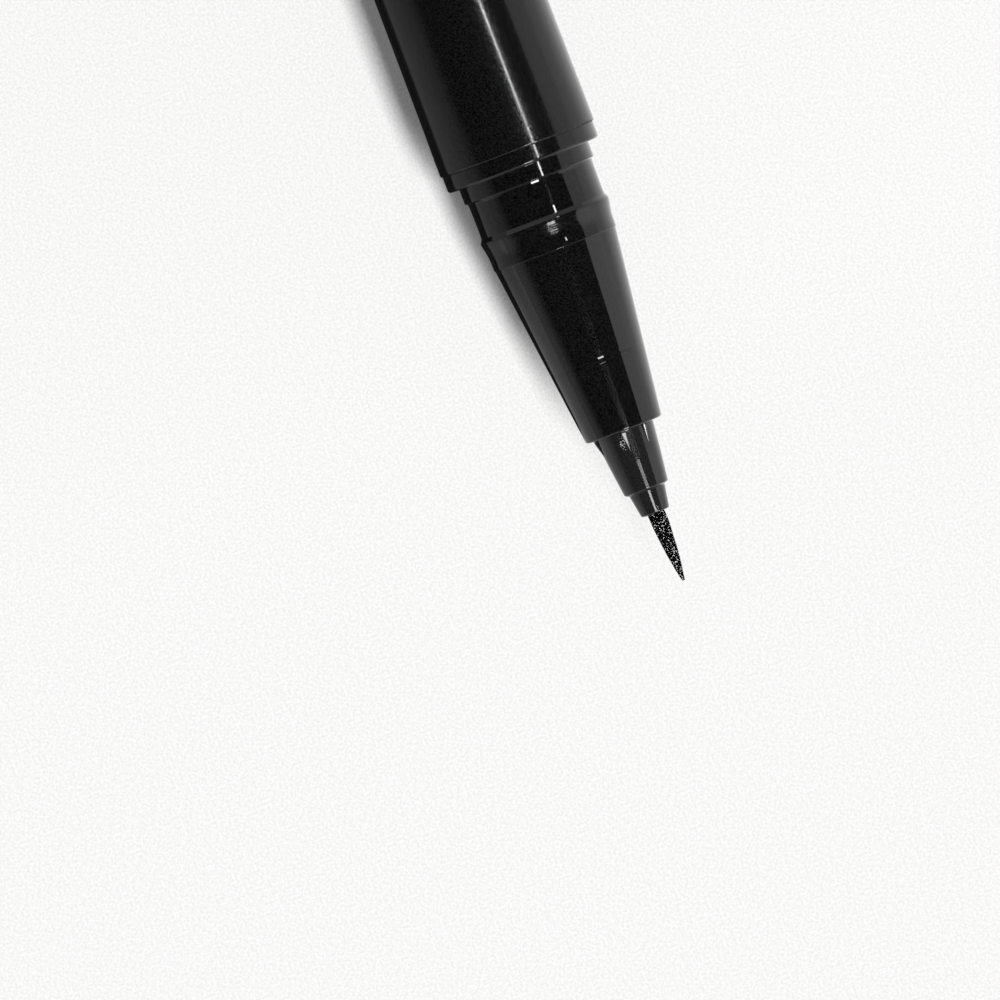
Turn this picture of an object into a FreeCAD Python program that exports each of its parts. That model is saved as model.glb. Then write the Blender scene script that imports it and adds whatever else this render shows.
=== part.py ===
"""Liquid eyeliner pen with a free-ink reservoir, uncapped, its cap pushed on the tail.

The pen lies along X with its brush towards +X, and Z is up. Its axis is one barrel radius
above the surface it lies on, and the frame's origin is on that surface, half way along.

Inside the barrel sits an ink tank with a mixing ball. The tank plug holds a fibre relay core,
which runs through a comb-shaped collector to the root of the brush. Lengths are millimetres.
"""

import FreeCAD, Part
import math
import os
import sys

import Sketcher

SIZES = [
    # barrel
    ("barrel_radius", 5.30, "outside, at the front edge"),
    ("barrel_taper", 0.40, "radius lost from the front edge to the rear rim"),
    ("barrel_length", 85.0, "front edge to rear rim"),
    ("barrel_wall", 1.0, "wall at the front edge"),
    ("barrel_front_round", 0.10, "rounding of the front edge"),
    ("barrel_rear_round", 0.25, "rounding of the rear rim"),
    ("press_clearance", 0.02, "radial gap round a piece that is pressed into a bore"),
    ("slide_clearance", 0.06, "radial gap round a piece that slides"),
    ("stop_gap", 0.05, "gap at the face that ends a slide"),
    # cap seat on the nose
    ("plug_length", 9.0, "front section inside the barrel"),
    ("shoulder_inset", 0.12, "shoulder ring below the barrel"),
    ("shoulder_length", 1.06, "shoulder ring, along the pen"),
    ("shoulder_round", 0.20, "rounding of the shoulder ring"),
    ("shoulder_rear_round", 0.05, "rounding of the shoulder ring where it meets the barrel"),
    ("shoulder_fillet", 0.14, "hollow between the shoulder ring and the collar"),
    ("cap_wall", 0.80, "cap wall at its mouth"),
    ("cap_clearance", 0.05, "radial gap between collar and cap mouth"),
    ("collar_length", 1.12, "collar, along the pen"),
    ("collar_round", 0.06, "rounding of the collar's edge"),
    ("collar_fillet", 0.09, "hollow between the collar and the neck"),
    ("neck_inset", 0.20, "neck below the collar"),
    ("neck_length", 2.63, "neck, along the pen"),
    ("bead_height", 0.16, "snap bead above the neck"),
    ("bead_crest", 0.09, "flat top of the snap bead, along the pen"),
    ("bead_length", 1.23, "snap bead, along the pen"),
    ("bead_round", 0.05, "rounding of the snap bead's rear edge"),
    ("bead_fillet", 0.06, "hollow between the neck and the snap bead"),
    ("land_inset", 0.055, "land in front of the bead, below the neck"),
    ("land_length", 0.85, "land, along the pen"),
    ("land_round", 0.02, "rounding of the land's front edge"),
    ("cone_inset", 0.04, "step from the land down to the cone"),
    ("cone_length", 12.42, "cone, along the pen, to its rim"),
    ("cone_front_radius", 2.64, "cone at its rim"),
    ("cone_round", 0.16, "rounding of the cone's rim"),
    ("cone_crown", 0.15, "front face of the cone, from its rim forward to its bore"),
    ("seal_mark_width", 0.12, "witness line, along the pen"),
    ("seal_mark_depth", 0.03, "witness line, into the cone"),
    ("front_wall", 0.85, "wall of the front section at the neck"),
    ("throat_radius", 2.50, "bore of the front section behind the nozzle"),
    # nozzle
    ("shank_radius", 2.01, "nozzle inside the front section"),
    ("shank_length", 6.20, "nozzle inside the front section"),
    ("nozzle_length", 4.10, "tapered body in front of the cone"),
    ("nozzle_front_radius", 1.55, "tapered body at its rim"),
    ("nozzle_round", 0.12, "rounding of the tapered body's rim"),
    ("nozzle_crown", 0.14, "front face of the tapered body, from its rim forward"),
    ("mouth_rear_radius", 1.23, "mouth piece of the nozzle at its rear"),
    ("mouth_front_radius", 0.97, "mouth piece of the nozzle at its rim"),
    ("mouth_length", 1.58, "mouth piece, along the pen"),
    ("mouth_round", 0.12, "rounding of the mouth's rim"),
    ("mouth_crown", 0.12, "front face of the mouth piece, from its rim forward"),
    ("rib_length", 1.20, "vent ribs, along the pen"),
    ("rib_height", 0.19, "vent ribs above the nozzle where they stop at the cone"),
    ("rib_root", 0.25, "vent ribs, into the nozzle"),
    ("rib_width", 0.32, "vent ribs where they stop at the cone, across"),
    ("rib_point_width", 0.05, "vent ribs at their front, across"),
    ("rib_count", 3, "vent ribs round the nozzle"),
    ("rib_angle", -41.0, "first rib, from +Z away from +Y, degrees"),
    ("flute_depth", 0.20, "air grooves along the shank, into it"),
    ("flute_width", 0.36, "air grooves along the shank, across"),
    # brush
    ("brush_radius", 0.58, "bristle bundle where it leaves the nozzle"),
    ("brush_straight", 0.76, "bristle bundle in front of the nozzle before it tapers"),
    ("brush_taper", 3.94, "tapered length of the bristle bundle"),
    ("brush_point_radius", 0.05, "end of the brush"),
    ("brush_bow_radius", 32.0, "curvature of the taper, seen from the side"),
    ("brush_hidden", 6.50, "bristle bundle inside the nozzle, in front of its root"),
    ("root_radius", 1.27, "fused root of the bristles"),
    ("root_length", 0.80, "fused root, along the pen"),
    ("retainer_length", 3.00, "collar that holds the root forward"),
    ("pipe_radius", 0.26, "guide pipe in the middle of the bristles"),
    ("pipe_wall", 0.09, "wall of the guide pipe"),
    ("pipe_setback", 1.70, "end of the guide pipe behind the nozzle's mouth"),
    ("pipe_dip", 2.00, "guide pipe inside the relay core"),
    # ink feed
    ("relay_radius", 0.95, "fibre relay core"),
    ("relay_dip", 1.50, "relay core behind the spout, in the tank"),
    ("fin_count", 20, "fins of the collector"),
    ("fin_share", 0.5, "thickness of a fin, as a share of its pitch"),
    ("core_wall", 0.70, "collector between its bore and the spaces of its fins"),
    ("fin_clearance", 0.05, "radial gap between the fins and the bore"),
    ("comb_gap", 0.60, "space in front of the fins"),
    ("slit_width", 0.25, "ink slit along the collector"),
    ("slit_wall", 0.30, "collector between its bore and the slit"),
    ("tank_wall", 0.65, "side wall of the ink tank"),
    ("tank_end", 0.90, "closed end of the ink tank"),
    ("tank_round", 0.80, "rounding of the tank's closed end"),
    ("flange_length", 1.00, "tank plug between the tank and the front section"),
    ("stopper_length", 4.00, "tank plug inside the tank"),
    ("spout_length", 6.00, "tank plug's spout, from the flange"),
    ("spout_wall", 0.60, "wall of the spout"),
    ("moat_width", 0.90, "groove in the tank plug's rear face, across"),
    ("moat_floor", 1.20, "tank plug between the groove and the flange"),
    ("vent_radius", 0.30, "air hole through the tank plug"),
    ("ball_radius", 1.50, "mixing ball"),
    ("ball_place", 20.0, "centre of the ball from the tank's closed end"),
    # tail
    ("tail_plug_length", 8.00, "tail plug inside the barrel"),
    ("tail_collar_length", 1.20, "tail plug's collar behind the barrel"),
    ("spigot_room", 1.05, "space between the spigot's end and the inner cap"),
    ("spigot_round", 0.60, "rounding of the spigot's end"),
    ("tail_wall", 0.90, "wall of the tail plug"),
    ("tail_end", 1.20, "closed end of the tail plug"),
    # cap
    ("shell_round", 0.14, "rounding of the cap's mouth"),
    ("mouth_chamfer", 0.20, "lead-in of the cap's mouth"),
    ("ridge_width", 0.60, "snap ridge in the cap, along the pen"),
    ("ridge_flank", 0.20, "slope on each side of the snap ridge, along the pen"),
    ("ridge_clearance", 0.06, "radial gap between snap ridge and neck"),
    ("lip_length", 1.20, "lip that holds the inner cap, along the pen"),
    ("chamber_wall", 1.00, "cap wall behind the lip"),
    ("inner_cap_radius", 3.41, "inner cap, outside"),
    ("inner_cap_wall", 0.42, "wall of the inner cap"),
    ("inner_cap_reach", 2.30, "inner cap in front of its flange"),
    ("inner_cap_flange", 1.00, "flange of the inner cap, along the pen"),
    ("inner_cap_end", 0.80, "closed end of the inner cap"),
    ("seal_chamfer", 0.24, "sealing edge in the inner cap's mouth"),
    ("seal_press", 0.95, "way the inner cap gives when the cap closes on the nose"),
    ("tip_room", 2.74, "space between the brush and the inner cap's closed end"),
    ("crown_length", 2.50, "crown behind the shell"),
    ("crown_inset", 0.06, "crown below the shell"),
    ("crown_round", 0.70, "rounding of the crown"),
    ("crown_plug_length", 2.20, "crown inside the shell"),
    ("wire_radius", 0.15, "spring wire"),
    ("spring_radius", 2.50, "centre line of the spring wire from the axis"),
    ("spring_space", 4.65, "between the crown and the inner cap, along the pen"),
    ("spring_turns", 4.5, "turns of the spring"),
    ("boss_clearance", 0.15, "radial gap between a boss and the spring"),
    ("boss_length", 0.80, "bosses that centre the spring"),
]

document = FreeCAD.newDocument("eyeliner_pen")
sheet = document.addObject("Spreadsheet::Sheet", "sizes")
for row, (alias, number, note) in enumerate(SIZES, start=1):
    sheet.set(f"A{row}", note)
    sheet.set(f"B{row}", str(number))
    sheet.setAlias(f"B{row}", alias)
document.recompute()


class Size:
    """A size written as an expression over the cells of the sheet."""

    def __init__(self, text):
        self.text = text

    def __add__(self, other):
        return Size(f"({self.text} + {other.text})")

    def __sub__(self, other):
        return Size(f"({self.text} - {other.text})")

    def __mul__(self, other):
        return Size(f"({self.text} * {other.text})")

    def __truediv__(self, other):
        return Size(f"({self.text} / {other.text})")

    def value(self):
        return float(sheet.evalExpression(self.text))


def cell(alias):
    return Size(f"sizes.{alias}")


NOTHING = Size("0")
HALF = Size("0.5")
TWICE = Size("2")
TOLERANCE = 1e-4
POINTS_PER_TURN = 48

# radii that follow from the driving sizes
barrel_radius = cell("barrel_radius")
press_clearance = cell("press_clearance")
barrel_bore = barrel_radius - cell("barrel_wall")
barrel_rear_radius = barrel_radius - cell("barrel_taper")
pressed_radius = barrel_bore - press_clearance
shoulder_radius = barrel_radius - cell("shoulder_inset")
cap_bore = barrel_radius - cell("cap_wall")
collar_radius = cap_bore - cell("cap_clearance")
neck_radius = collar_radius - cell("neck_inset")
bead_radius = neck_radius + cell("bead_height")
land_radius = neck_radius - cell("land_inset")
cone_rear_radius = land_radius - cell("cone_inset")
collector_bore = neck_radius - cell("front_wall")
nozzle_seat = cell("shank_radius") + press_clearance
root_bore = cell("root_radius") + press_clearance
bristle_bore = cell("brush_radius") + press_clearance
relay_bore = cell("relay_radius") + press_clearance
tank_bore = pressed_radius - cell("tank_wall")
ridge_radius = neck_radius + cell("ridge_clearance")
chamber_radius = barrel_radius - cell("chamber_wall")
inner_cap_bore = cell("inner_cap_radius") - cell("inner_cap_wall")
boss_radius = cell("spring_radius") - cell("wire_radius") - cell("boss_clearance")

# lengths along the nose, in front of the barrel
snap_length = cell("collar_length") + cell("neck_length")
seat_length = cell("shoulder_length") + snap_length + cell("bead_length")
nose_length = seat_length + cell("land_length") + cell("cone_length")
brush_length = cell("brush_straight") + cell("brush_taper")
nozzle_reach = cell("nozzle_length") + cell("mouth_length")
cone_slope = (cone_rear_radius - cell("cone_front_radius")) / cell("cone_length")
face_length = nose_length + cell("cone_crown")

# The inner cap seals where the cone is as wide as its mouth.
seal_radius = inner_cap_bore + cell("seal_chamfer")
seal_setback = (seal_radius - cell("cone_front_radius")) / cone_slope

# depths in the cap, from its mouth, which stops against the shoulder ring
inner_mouth_depth = nose_length - cell("shoulder_length") - seal_setback - cell("seal_press")
flange_depth = inner_mouth_depth + cell("inner_cap_reach")
lip_depth = flange_depth - cell("stop_gap") - cell("lip_length")
tip_reach = cell("cone_crown") + nozzle_reach + brush_length
inner_cap_depth = seal_setback + tip_reach + cell("tip_room")
inner_cap_length = inner_cap_depth + cell("inner_cap_end")
crown_depth = inner_mouth_depth + inner_cap_length + cell("spring_space")
shell_length = crown_depth + cell("crown_plug_length")
spigot_depth = inner_mouth_depth - cell("spigot_room")
spigot_length = spigot_depth - cell("stop_gap") - cell("tail_collar_length")

# places along X, from the middle of the pen
cap_length = cell("crown_length") + shell_length
reach = nose_length + tip_reach
overall_length = cap_length + cell("stop_gap") + cell("barrel_length") + reach
crown_rear = (NOTHING - overall_length) * HALF
shell_rear = crown_rear + cell("crown_length")
crown_front = shell_rear + cell("crown_plug_length")
inner_cap_rear = crown_front + cell("spring_space")
cap_mouth = shell_rear + shell_length
barrel_rear = cap_mouth + cell("stop_gap")
spigot_rear = cap_mouth - spigot_depth
tank_rear = barrel_rear + cell("tail_plug_length") + cell("stop_gap")
barrel_front = barrel_rear + cell("barrel_length")
front_rear = barrel_front - cell("plug_length")
flange_rear = front_rear - cell("flange_length")
relay_rear = flange_rear - cell("spout_length") - cell("relay_dip")
cone_face = barrel_front + face_length
shank_rear = cone_face - cell("shank_length")
root_front = cone_face + nozzle_reach - cell("brush_hidden")
root_rear = root_front - cell("root_length")


def plane_of(body, role):
    return next(f for f in body.Origin.OriginFeatures if f.Role == role)


def new_body(name, rear):
    """A body whose own origin is on the pen's axis, at a place along it."""
    body = document.addObject("PartDesign::Body", name)
    body.Label = name
    body.setExpression("Placement.Base.x", rear.text)
    body.setExpression("Placement.Base.z", barrel_radius.text)
    return body


def new_sketch(body, name, role="XY_Plane"):
    sketch = body.newObject("Sketcher::SketchObject", f"{body.Name}_{name}")
    sketch.AttachmentSupport = [(plane_of(body, role), "")]
    sketch.MapMode = "FlatFace"
    return sketch


def hold(sketch, kind, element, point, size):
    """Places a point of the sketch by a dimension that is bound to the sheet."""
    constraint = Sketcher.Constraint(kind, -1, 1, element, point, size.value())
    index = sketch.addConstraint(constraint)
    sketch.setExpression(f"Constraints[{index}]", size.text)


def bowed_edge(start, end, radius):
    """An arc that swells away from the pen's axis. It runs back, from end to start."""
    chord = end - start
    outward = FreeCAD.Vector(-chord.y, chord.x, 0).normalize()
    depth = (radius**2 - (chord.Length / 2) ** 2) ** 0.5
    centre = (start + end) * 0.5 - outward * depth
    circle = Part.Circle(centre, FreeCAD.Vector(0, 0, 1), radius)
    return Part.ArcOfCircle(circle, circle.parameter(end), circle.parameter(start))


def draw_outline(sketch, corners, bows=None):
    """Closes a path through the corners, each (along, radius), and dimensions every one.

    bows gives the radius of a bowed edge by the number of the corner that it leaves, towards
    the brush. meets holds, for each edge, its ends in the order of the path.
    """
    bows = bows or {}
    count = len(corners)
    points = [FreeCAD.Vector(a.value(), r.value(), 0) for a, r in corners]
    meets = []
    for i, point in enumerate(points):
        following = points[(i + 1) % count]
        if i in bows:
            sketch.addGeometry(bowed_edge(point, following, bows[i].value()))
            meets.append((2, 1))
        else:
            sketch.addGeometry(Part.LineSegment(point, following))
            meets.append((1, 2))
    for i in range(count):
        after = (i + 1) % count
        sketch.addConstraint(
            Sketcher.Constraint("Coincident", i, meets[i][1], after, meets[after][0])
        )
    for i, (along, radius) in enumerate(corners):
        start = meets[i][0]
        if along is NOTHING:
            sketch.addConstraint(Sketcher.Constraint("PointOnObject", i, start, -2))
        else:
            hold(sketch, "DistanceX", i, start, along)
        if radius is NOTHING:
            sketch.addConstraint(Sketcher.Constraint("PointOnObject", i, start, -1))
        else:
            hold(sketch, "DistanceY", i, start, radius)
    for i, radius in bows.items():
        index = sketch.addConstraint(Sketcher.Constraint("Radius", i, radius.value()))
        sketch.setExpression(f"Constraints[{index}]", radius.text)


def draw_circle(sketch, across, up, radius):
    centre = FreeCAD.Vector(across.value(), up.value(), 0)
    sketch.addGeometry(Part.Circle(centre, FreeCAD.Vector(0, 0, 1), radius.value()))
    if across is NOTHING:
        sketch.addConstraint(Sketcher.Constraint("PointOnObject", 0, 3, -2))
    else:
        hold(sketch, "DistanceX", 0, 3, across)
    hold(sketch, "DistanceY", 0, 3, up)
    index = sketch.addConstraint(Sketcher.Constraint("Radius", 0, radius.value()))
    sketch.setExpression(f"Constraints[{index}]", radius.text)


def turned_body(name, rear, corners, bows=None):
    """A body made by turning the outline round the pen's axis."""
    body = new_body(name, rear)
    sketch = new_sketch(body, "outline")
    draw_outline(sketch, corners, bows)
    turned = body.newObject("PartDesign::Revolution", f"{name}_turned")
    turned.Profile = sketch
    turned.ReferenceAxis = (sketch, ["H_Axis"])
    turned.Angle = 360
    document.recompute()
    return body


def ring_edges(shape, rings):
    """Names of the shape's round edges at the given (along, radius) places."""
    places = [(along.value(), radius.value()) for along, radius in rings]
    found = []
    for number, edge in enumerate(shape.Edges, start=1):
        if not isinstance(edge.Curve, Part.Circle):
            continue
        along, radius = edge.Curve.Center.x, edge.Curve.Radius
        if any(abs(along - a) + abs(radius - r) < TOLERANCE for a, r in places):
            found.append(f"Edge{number}")
    if len(found) < len(rings):
        raise ValueError(f"{len(found)} of {len(rings)} round edges found")
    return found


def dress(body, kind, measure, size, rings):
    """Rounds or chamfers round edges by a size from the sheet."""
    base = body.Tip
    edges = ring_edges(base.Shape, rings)
    dressed = body.newObject(kind, f"{body.Name}_edge_{len(body.Group)}")
    dressed.Base = (base, edges)
    dressed.setExpression(measure, size.text)
    document.recompute()


def round_rings(body, size, *rings):
    dress(body, "PartDesign::Fillet", "Radius", size, rings)


def chamfer_rings(body, size, *rings):
    dress(body, "PartDesign::Chamfer", "Size", size, rings)


def pattern_round_axis(body, feature, count):
    pattern = body.newObject("PartDesign::PolarPattern", f"{feature.Name}_pattern")
    pattern.Originals = [feature]
    pattern.Axis = (plane_of(body, "X_Axis"), [""])
    pattern.Angle = 360
    pattern.setExpression("Occurrences", count.text)
    body.Tip = pattern
    document.recompute()


def pocket(body, sketch, name, length):
    """Cuts the sketch forward from the body's rear end, and checks that something went."""
    before = body.Tip.Shape.Volume
    cut = body.newObject("PartDesign::Pocket", f"{body.Name}_{name}")
    cut.Profile = sketch
    cut.setExpression("Length", length.text)
    cut.Reversed = True
    document.recompute()
    if cut.Shape.Volume >= before:
        raise ValueError(f"{cut.Name} cuts nothing")
    return cut


# The barrel is a plain tapered tube, open at both ends.
def make_barrel():
    length = cell("barrel_length")
    body = turned_body(
        "barrel",
        barrel_rear,
        [
            (NOTHING, barrel_bore),
            (NOTHING, barrel_rear_radius),
            (length, barrel_radius),
            (length, barrel_bore),
        ],
    )
    round_rings(body, cell("barrel_front_round"), (length, barrel_radius))
    round_rings(body, cell("barrel_rear_round"), (NOTHING, barrel_rear_radius))
    return body


# The front section is one moulding: the plug inside the barrel, the shoulder ring, the collar,
# neck and snap bead that hold the cap, and the cone with the nozzle's seat.
def make_front_section():
    shoulder_rear = cell("plug_length")
    shoulder_front = shoulder_rear + cell("shoulder_length")
    collar_front = shoulder_front + cell("collar_length")
    bead_rear = collar_front + cell("neck_length")
    bead_crest = bead_rear + cell("bead_crest")
    bead_front = bead_rear + cell("bead_length")
    land_front = bead_front + cell("land_length")
    rim = land_front + cell("cone_length")
    face = rim + cell("cone_crown")
    seat_rear = face - cell("shank_length")
    body = turned_body(
        "front_section",
        front_rear,
        [
            (NOTHING, collector_bore),
            (NOTHING, pressed_radius),
            (shoulder_rear, pressed_radius),
            (shoulder_rear, shoulder_radius),
            (shoulder_front, shoulder_radius),
            (shoulder_front, collar_radius),
            (collar_front, collar_radius),
            (collar_front, neck_radius),
            (bead_rear, neck_radius),
            (bead_rear, bead_radius),
            (bead_crest, bead_radius),
            (bead_front, land_radius),
            (land_front, land_radius),
            (land_front, cone_rear_radius),
            (rim, cell("cone_front_radius")),
            (face, nozzle_seat),
            (seat_rear, nozzle_seat),
            (seat_rear, cell("throat_radius")),
            (bead_front, cell("throat_radius")),
            (bead_front, collector_bore),
        ],
    )
    round_rings(body, cell("shoulder_rear_round"), (shoulder_rear, shoulder_radius))
    round_rings(body, cell("shoulder_round"), (shoulder_front, shoulder_radius))
    round_rings(body, cell("shoulder_fillet"), (shoulder_front, collar_radius))
    round_rings(body, cell("collar_round"), (collar_front, collar_radius))
    round_rings(body, cell("collar_fillet"), (collar_front, neck_radius))
    round_rings(body, cell("bead_fillet"), (bead_rear, neck_radius))
    round_rings(body, cell("bead_round"), (bead_rear, bead_radius))
    round_rings(body, cell("land_round"), (land_front, land_radius))
    round_rings(body, cell("cone_round"), (rim, cell("cone_front_radius")))
    mark_seal(body, rim)
    return body


# The inner cap's mouth leaves a fine witness line round the cone.
def mark_seal(body, rim):
    front = rim - seal_setback
    rear = front - cell("seal_mark_width")
    rear_radius = seal_radius + cone_slope * cell("seal_mark_width")
    depth = cell("seal_mark_depth")
    sketch = new_sketch(body, "seal_mark_outline")
    draw_outline(
        sketch,
        [
            (rear, rear_radius - depth),
            (rear, rear_radius + depth),
            (front, seal_radius + depth),
            (front, seal_radius - depth),
        ],
    )
    cut = body.newObject("PartDesign::Groove", "front_section_seal_mark")
    cut.Profile = sketch
    cut.ReferenceAxis = (sketch, ["H_Axis"])
    cut.Angle = 360
    document.recompute()


# The nozzle is pressed into the cone from the front. Ribs stop it at the cone's face and keep
# an air path open between them, which goes on along the grooves of the shank.
def make_nozzle():
    face = cell("shank_length")
    step = face + cell("nozzle_length")
    rim = step - cell("nozzle_crown")
    mouth = step + cell("mouth_length")
    mouth_rim = mouth - cell("mouth_crown")
    root_stop = mouth - cell("brush_hidden")
    body = turned_body(
        "nozzle",
        shank_rear,
        [
            (NOTHING, root_bore),
            (NOTHING, cell("shank_radius")),
            (face, cell("shank_radius")),
            (rim, cell("nozzle_front_radius")),
            (step, cell("mouth_rear_radius")),
            (mouth_rim, cell("mouth_front_radius")),
            (mouth, bristle_bore),
            (root_stop, bristle_bore),
            (root_stop, root_bore),
        ],
    )
    round_rings(body, cell("nozzle_round"), (rim, cell("nozzle_front_radius")))
    round_rings(body, cell("mouth_round"), (mouth_rim, cell("mouth_front_radius")))
    add_ribs(body, face)
    cut_flutes(body)
    body.Placement.Rotation = FreeCAD.Rotation(FreeCAD.Vector(1, 0, 0), 1)
    body.setExpression("Placement.Rotation.Angle", cell("rib_angle").text)
    return body


def add_ribs(body, face):
    """Wedges that are widest and highest at the cone and run out in a point on the taper."""
    radius = cell("shank_radius")
    taper_length = cell("nozzle_length") - cell("nozzle_crown")
    slope = (radius - cell("nozzle_front_radius")) / taper_length
    front = face + cell("rib_length")
    front_radius = radius - slope * cell("rib_length")
    rear_outline = new_sketch(body, "rib_rear", "YZ_Plane")
    rear_outline.setExpression("AttachmentOffset.Base.z", face.text)
    root = cell("rib_root")
    half = cell("rib_width") * HALF
    draw_centred_box(rear_outline, half, radius - root, radius + cell("rib_height"))
    front_outline = new_sketch(body, "rib_front", "YZ_Plane")
    front_outline.setExpression("AttachmentOffset.Base.z", front.text)
    point_half = cell("rib_point_width") * HALF
    draw_centred_box(front_outline, point_half, front_radius - root, front_radius)
    document.recompute()
    rib = body.newObject("PartDesign::AdditiveLoft", "nozzle_rib")
    rib.Profile = rear_outline
    rib.Sections = [front_outline]
    rib.Ruled = True
    document.recompute()
    pattern_round_axis(body, rib, cell("rib_count"))


def cut_flutes(body):
    """Air grooves along the shank. The first is opposite the first rib."""
    inner = cell("shank_radius") - cell("flute_depth")
    outer = cell("shank_radius") + cell("flute_depth")
    sketch = new_sketch(body, "flute_outline", "YZ_Plane")
    half = cell("flute_width") * HALF
    draw_centred_box(sketch, half, NOTHING - outer, NOTHING - inner)
    cut = pocket(body, sketch, "flute", cell("shank_length"))
    pattern_round_axis(body, cut, cell("rib_count"))


def draw_centred_box(sketch, half_width, low, high):
    """A rectangle that straddles the sketch's Y axis, between two heights."""
    width, bottom, top = half_width.value(), low.value(), high.value()
    corners = [(-width, bottom), (-width, top), (width, top), (width, bottom)]
    points = [FreeCAD.Vector(x, y, 0) for x, y in corners]
    for i, point in enumerate(points):
        sketch.addGeometry(Part.LineSegment(point, points[(i + 1) % 4]))
    for i in range(4):
        sketch.addConstraint(Sketcher.Constraint("Coincident", i, 2, (i + 1) % 4, 1))
    for side in (0, 2):
        sketch.addConstraint(Sketcher.Constraint("Vertical", side))
    sketch.addConstraint(Sketcher.Constraint("Horizontal", 3))
    sketch.addConstraint(Sketcher.Constraint("Symmetric", 1, 1, 1, 2, -2))
    hold(sketch, "DistanceX", 2, 1, half_width)
    hold(sketch, "DistanceY", 0, 1, low)
    hold(sketch, "DistanceY", 0, 2, high)


# The brush is a bundle of bristles whose root is fused to a disc, with a bore for the pipe.
def make_brush():
    root = cell("root_length")
    mouth = root + cell("brush_hidden")
    pipe_end = mouth - cell("pipe_setback")
    taper = mouth + cell("brush_straight")
    point = mouth + brush_length
    bore = cell("pipe_radius") + press_clearance
    return turned_body(
        "brush_tip",
        root_rear,
        [
            (NOTHING, bore),
            (NOTHING, cell("root_radius")),
            (root, cell("root_radius")),
            (root, cell("brush_radius")),
            (taper, cell("brush_radius")),
            (point, cell("brush_point_radius")),
            (point, NOTHING),
            (pipe_end, NOTHING),
            (pipe_end, bore),
        ],
        {4: cell("brush_bow_radius")},
    )


def make_brush_retainer():
    length = cell("retainer_length")
    return turned_body(
        "brush_retainer",
        root_rear - length,
        [
            (NOTHING, relay_bore),
            (NOTHING, cell("root_radius")),
            (length, cell("root_radius")),
            (length, relay_bore),
        ],
    )


# The guide pipe carries ink from the relay core into the middle of the bristles.
def make_guide_pipe():
    hidden = cell("root_length") + cell("brush_hidden") - cell("pipe_setback")
    length = cell("pipe_dip") + hidden
    bore = cell("pipe_radius") - cell("pipe_wall")
    return turned_body(
        "guide_pipe",
        root_rear - cell("pipe_dip"),
        [
            (NOTHING, bore),
            (NOTHING, cell("pipe_radius")),
            (length, cell("pipe_radius")),
            (length, bore),
        ],
    )


def make_relay_core():
    length = root_rear - relay_rear
    socket = length - cell("pipe_dip")
    bore = cell("pipe_radius") + press_clearance
    return turned_body(
        "relay_core",
        relay_rear,
        [
            (NOTHING, NOTHING),
            (NOTHING, cell("relay_radius")),
            (length, cell("relay_radius")),
            (length, bore),
            (socket, bore),
            (socket, NOTHING),
        ],
    )


# The collector takes up ink that warm air pushes out of the tank, between its fins.
def make_collector():
    comb = cell("plug_length") + seat_length - cell("comb_gap")
    length = cell("plug_length") + face_length - cell("shank_length")
    pitch = comb / cell("fin_count")
    fin = pitch * cell("fin_share")
    fin_radius = collector_bore - cell("fin_clearance")
    core_radius = relay_bore + cell("core_wall")
    body = turned_body(
        "collector",
        front_rear,
        [
            (NOTHING, relay_bore),
            (NOTHING, fin_radius),
            (comb, fin_radius),
            (comb, core_radius),
            (length, core_radius),
            (length, relay_bore),
        ],
    )
    sketch = new_sketch(body, "space_outline")
    draw_outline(
        sketch,
        [
            (fin, core_radius),
            (fin, fin_radius + fin),
            (pitch, fin_radius + fin),
            (pitch, core_radius),
        ],
    )
    space = body.newObject("PartDesign::Groove", "collector_space")
    space.Profile = sketch
    space.ReferenceAxis = (sketch, ["H_Axis"])
    space.Angle = 360
    document.recompute()
    spaces = body.newObject("PartDesign::LinearPattern", "collector_spaces")
    spaces.Originals = [space]
    spaces.Direction = (plane_of(body, "X_Axis"), [""])
    spaces.setExpression("Occurrences", cell("fin_count").text)
    spaces.setExpression("Length", (comb - pitch).text)
    body.Tip = spaces
    document.recompute()
    cut_slit(body, comb, fin_radius)
    return body


# A capillary slit runs through all the fins on the upper side.
def cut_slit(body, length, fin_radius):
    sketch = new_sketch(body, "slit_outline", "YZ_Plane")
    half = cell("slit_width") * HALF
    bottom = relay_bore + cell("slit_wall")
    draw_centred_box(sketch, half, bottom, fin_radius + cell("slit_wall"))
    pocket(body, sketch, "slit", length)


# The tank plug closes the tank and holds the relay core in its spout.
def make_tank_plug():
    flange_rear_face = cell("spout_length")
    flange_front_face = flange_rear_face + cell("flange_length")
    stopper_rear = flange_rear_face - cell("stopper_length")
    stopper_radius = tank_bore - press_clearance
    spout_radius = relay_bore + cell("spout_wall")
    middle = (spout_radius + stopper_radius) * HALF
    moat_inner = middle - cell("moat_width") * HALF
    moat_outer = middle + cell("moat_width") * HALF
    moat_floor = flange_rear_face - cell("moat_floor")
    body = turned_body(
        "tank_plug",
        flange_rear - cell("spout_length"),
        [
            (NOTHING, relay_bore),
            (NOTHING, spout_radius),
            (stopper_rear, spout_radius),
            (stopper_rear, moat_inner),
            (moat_floor, moat_inner),
            (moat_floor, moat_outer),
            (stopper_rear, moat_outer),
            (stopper_rear, stopper_radius),
            (flange_rear_face, stopper_radius),
            (flange_rear_face, pressed_radius),
            (flange_front_face, pressed_radius),
            (flange_front_face, relay_bore),
        ],
    )
    sketch = new_sketch(body, "vent_outline", "YZ_Plane")
    draw_circle(sketch, NOTHING, middle, cell("vent_radius"))
    pocket(body, sketch, "vent", flange_front_face)
    return body


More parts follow.
